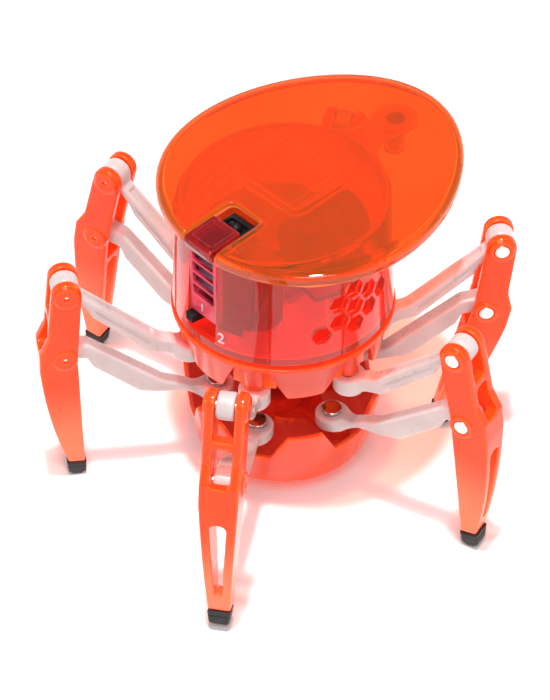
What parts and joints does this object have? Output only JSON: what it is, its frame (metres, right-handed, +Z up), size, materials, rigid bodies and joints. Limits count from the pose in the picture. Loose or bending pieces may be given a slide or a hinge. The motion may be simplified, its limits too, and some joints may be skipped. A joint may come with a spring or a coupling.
{
  "type": "hexapod spider robot",
  "caption": "Small walking toy robot: a round chassis on jointed two-arm legs with rubber feet, under a turning drum head with a tilted visor disc, sensor lens and slide switch.",
  "frame": {"origin": "centre of the tray's flat underside, on the head's turning axis", "axes": "+Z up along the turning axis, -Y towards the front of the head (lens and switch), +X to its left-hand leg; legs stand every 60 degrees from +X"},
  "size_m": [0.1137, 0.0995, 0.0771],
  "materials": {
    "coral_plastic": "translucent coral red, moulded gloss",
    "core_plastic": "deep red translucent, moulded",
    "shell_plastic": "translucent coral pink-red, moulded gloss",
    "disc_plastic": "translucent fluorescent orange, polished",
    "shin_plastic": "translucent orange-red, moulded gloss",
    "arm_plastic": "milky translucent white, satin gloss",
    "pearl_plastic": "milky translucent white",
    "foot_rubber": "soft black, matt",
    "rivet_steel": "bright plated flat heads",
    "pin_steel": "polished round head",
    "lens_plastic": "dark red infra-red window, polished",
    "black_plastic": "black, fine moulded grain",
    "board": "olive-brown laminate with solder mask",
    "cell_steel": "plated button-cell cans",
    "motor_steel": "drawn steel can"
  },
  "bodies": {
    "chassis": {"base_tray": "coral_plastic", "chassis_skirt": "coral_plastic", "steering_gear": "pearl_plastic", "walk_motor": "motor_steel"},
    "crank": {"crank_shaft": "core_plastic"},
    "star_a": {"star_plate_a": "core_plastic"},
    "star_b": {"star_plate_b": "core_plastic"},
    "arm_1": {"upper_arm_1": "arm_plastic"},
    "leg_1": {"shin_1": "shin_plastic", "foot_tip_1": "foot_rubber", "upper_rivet_1": "rivet_steel", "lower_rivet_1": "rivet_steel"},
    "link_1": {"lower_arm_1": "arm_plastic", "crank_pin_1": "pin_steel"},
    "arm_2": {"upper_arm_2": "arm_plastic"},
    "leg_2": {"shin_2": "shin_plastic", "foot_tip_2": "foot_rubber", "upper_rivet_2": "rivet_steel", "lower_rivet_2": "rivet_steel"},
    "link_2": {"lower_arm_2": "arm_plastic", "crank_pin_2": "pin_steel"},
    "arm_3": {"upper_arm_3": "arm_plastic"},
    "leg_3": {"shin_3": "shin_plastic", "foot_tip_3": "foot_rubber", "upper_rivet_3": "rivet_steel", "lower_rivet_3": "rivet_steel"},
    "link_3": {"lower_arm_3": "arm_plastic", "crank_pin_3": "pin_steel"},
    "arm_4": {"upper_arm_4": "arm_plastic"},
    "leg_4": {"shin_4": "shin_plastic", "foot_tip_4": "foot_rubber", "upper_rivet_4": "rivet_steel", "lower_rivet_4": "rivet_steel"},
    "link_4": {"lower_arm_4": "arm_plastic", "crank_pin_4": "pin_steel"},
    "arm_5": {"upper_arm_5": "arm_plastic"},
    "leg_5": {"shin_5": "shin_plastic", "foot_tip_5": "foot_rubber", "upper_rivet_5": "rivet_steel", "lower_rivet_5": "rivet_steel"},
    "link_5": {"lower_arm_5": "arm_plastic", "crank_pin_5": "pin_steel"},
    "arm_6": {"upper_arm_6": "arm_plastic"},
    "leg_6": {"shin_6": "shin_plastic", "foot_tip_6": "foot_rubber", "upper_rivet_6": "rivet_steel", "lower_rivet_6": "rivet_steel"},
    "link_6": {"lower_arm_6": "arm_plastic", "crank_pin_6": "pin_steel"},
    "head": {"body_shell": "shell_plastic", "head_disc": "disc_plastic", "eye_lens": "lens_plastic", "ir_module": "black_plastic", "window_grille": "lens_plastic", "switch_body": "black_plastic", "circuit_board": "board", "battery_cells": "cell_steel", "drum_lid": "shell_plastic", "steer_motor": "motor_steel"},
    "knob": {"switch_knob": "black_plastic"}
  },
  "joints": [
    {"name": "crank_turn", "type": "hinge", "parent": "chassis", "child": "crank", "pos_m": [0, 0, 0.0152], "axis": [0, 0, 1], "continuous": true},
    {"name": "star_a_orbit", "type": "hinge", "parent": "crank", "child": "star_a", "pos_m": [-0.001, -0.00173, 0.0107], "axis": [0, 0, 1], "continuous": true},
    {"name": "star_b_orbit", "type": "hinge", "parent": "crank", "child": "star_b", "pos_m": [0.001, 0.00173, 0.0079], "axis": [0, 0, 1], "continuous": true},
    {"name": "swing_1", "type": "hinge", "parent": "chassis", "child": "arm_1", "pos_m": [0.0209, 0, 0.0275], "axis": [0, 0, 1], "range_deg": [-36, 4]},
    {"name": "lift_1", "type": "hinge", "parent": "arm_1", "child": "leg_1", "pos_m": [0.04647, 0.00733, 0.0494], "axis": [0.2756, -0.9613, 0], "range_deg": [-22, 8]},
    {"name": "link_level_1", "type": "hinge", "parent": "leg_1", "child": "link_1", "pos_m": [0.04944, 0.00818, 0.03187], "axis": [0.2756, -0.9613, 0], "range_deg": [-9, 23]},
    {"name": "swing_2", "type": "hinge", "parent": "chassis", "child": "arm_2", "pos_m": [0.01045, 0.0181, 0.0275], "axis": [0, 0, 1], "range_deg": [-10, 30]},
    {"name": "lift_2", "type": "hinge", "parent": "arm_2", "child": "leg_2", "pos_m": [0.02755, 0.03848, 0.0494], "axis": [0.766, -0.6428, 0], "range_deg": [-4, 26]},
    {"name": "link_level_2", "type": "hinge", "parent": "leg_2", "child": "link_2", "pos_m": [0.02596, 0.03658, 0.03177], "axis": [0.766, -0.6428, 0], "range_deg": [-27, 5]},
    {"name": "swing_3", "type": "hinge", "parent": "chassis", "child": "arm_3", "pos_m": [-0.01045, 0.0181, 0.0275], "axis": [0, 0, 1], "range_deg": [-20, 20]},
    {"name": "lift_3", "type": "hinge", "parent": "arm_3", "child": "leg_3", "pos_m": [-0.02375, 0.04114, 0.0494], "axis": [0.866, 0.5, 0], "range_deg": [-12, 18]},
    {"name": "link_level_3", "type": "hinge", "parent": "leg_3", "child": "link_3", "pos_m": [-0.02375, 0.04114, 0.0316], "axis": [0.866, 0.5, 0], "range_deg": [-19, 13]},
    {"name": "swing_4", "type": "hinge", "parent": "chassis", "child": "arm_4", "pos_m": [-0.0209, 0, 0.0275], "axis": [0, 0, 1], "range_deg": [-38, 2]},
    {"name": "lift_4", "type": "hinge", "parent": "arm_4", "child": "leg_4", "pos_m": [-0.0462, -0.00822, 0.0494], "axis": [-0.309, 0.9511, 0], "range_deg": [-24, 6]},
    {"name": "link_level_4", "type": "hinge", "parent": "leg_4", "child": "link_4", "pos_m": [-0.04972, -0.00936, 0.03199], "axis": [-0.309, 0.9511, 0], "range_deg": [-7, 25]},
    {"name": "swing_5", "type": "hinge", "parent": "chassis", "child": "arm_5", "pos_m": [-0.01045, -0.0181, 0.0275], "axis": [0, 0, 1], "range_deg": [-18, 22]},
    {"name": "lift_5", "type": "hinge", "parent": "arm_5", "child": "leg_5", "pos_m": [-0.02455, -0.04066, 0.0494], "axis": [-0.848, 0.5299, 0], "range_deg": [-16, 14]},
    {"name": "link_level_5", "type": "hinge", "parent": "leg_5", "child": "link_5", "pos_m": [-0.0252, -0.04171, 0.03164], "axis": [-0.848, 0.5299, 0], "range_deg": [-15, 17]},
    {"name": "swing_6", "type": "hinge", "parent": "chassis", "child": "arm_6", "pos_m": [0.01045, -0.0181, 0.0275], "axis": [0, 0, 1], "range_deg": [-26, 14]},
    {"name": "lift_6", "type": "hinge", "parent": "arm_6", "child": "leg_6", "pos_m": [0.02609, -0.03962, 0.0494], "axis": [-0.809, -0.5878, 0], "range_deg": [-27, 3]},
    {"name": "link_level_6", "type": "hinge", "parent": "leg_6", "child": "link_6", "pos_m": [0.02879, -0.04335, 0.03221], "axis": [-0.809, -0.5878, 0], "range_deg": [-4, 28]},
    {"name": "head_turn", "type": "hinge", "parent": "chassis", "child": "head", "pos_m": [0, 0, 0.0394], "axis": [0, 0, 1], "continuous": true},
    {"name": "power_slide", "type": "slide", "parent": "head", "child": "knob", "axis": [0.9914, -0.1305, 0], "range_m": [0, 0.003]}
  ],
  "couplings": [
    {"joint": "star_a_orbit", "follows": "crank_turn", "ratio": -1},
    {"joint": "star_b_orbit", "follows": "crank_turn", "ratio": -1},
    {"joint": "link_level_1", "follows": "lift_1", "ratio": -1},
    {"joint": "link_level_2", "follows": "lift_2", "ratio": -1},
    {"joint": "link_level_3", "follows": "lift_3", "ratio": -1},
    {"joint": "link_level_4", "follows": "lift_4", "ratio": -1},
    {"joint": "link_level_5", "follows": "lift_5", "ratio": -1},
    {"joint": "link_level_6", "follows": "lift_6", "ratio": -1}
  ]
}
